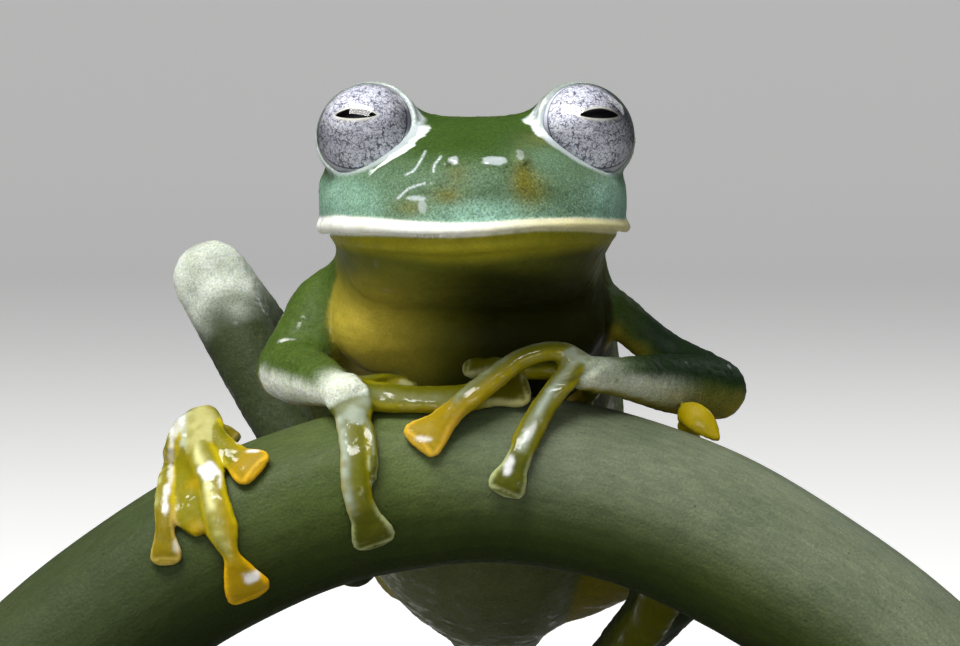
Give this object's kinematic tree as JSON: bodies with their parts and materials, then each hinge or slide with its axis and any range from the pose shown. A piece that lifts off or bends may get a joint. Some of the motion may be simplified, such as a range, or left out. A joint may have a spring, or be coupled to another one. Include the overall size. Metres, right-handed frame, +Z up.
{
  "type": "glass frog model on a plant stem",
  "caption": "Still, life-size glass frog gripping an arched plant stem, held over a plain flat base by short rods.",
  "frame": {"origin": "centre of the underside of the stand's base", "axes": "+Z up; the frog looks along -Y; its left side is at +X, and the stem runs along X"},
  "size_m": [0.044, 0.034, 0.0302],
  "materials": {
    "skin_green": "wet, finely grained skin, green with pale edges",
    "skin_olive": "wet, thin olive-yellow skin of throat and belly",
    "digit_yellow": "wet yellow skin of hands and feet",
    "eye_silver": "polished silver iris under a clear cornea",
    "stem_green": "matt green plant stem",
    "stand_grey": "plain matt base",
    "stand_metal": "brushed rod"
  },
  "bodies": {
    "root": {"head": "skin_green", "eye_right": "eye_silver", "eye_left": "eye_silver", "torso": "skin_olive", "upper_arm_right": "skin_green", "upper_arm_left": "skin_green", "forearm_right": "skin_green", "forearm_left": "skin_green", "hand_right": "digit_yellow", "hand_left": "digit_yellow", "thigh_right": "skin_green", "thigh_left": "skin_green", "shank_right": "skin_green", "shank_left": "skin_green", "tarsus_right": "skin_green", "tarsus_left": "skin_green", "foot_right": "digit_yellow", "foot_left": "digit_yellow", "perch_stem": "stem_green", "stand_base": "stand_grey", "stand_rod_right": "stand_metal", "stand_rod_left": "stand_metal"}
  },
  "joints": []
}
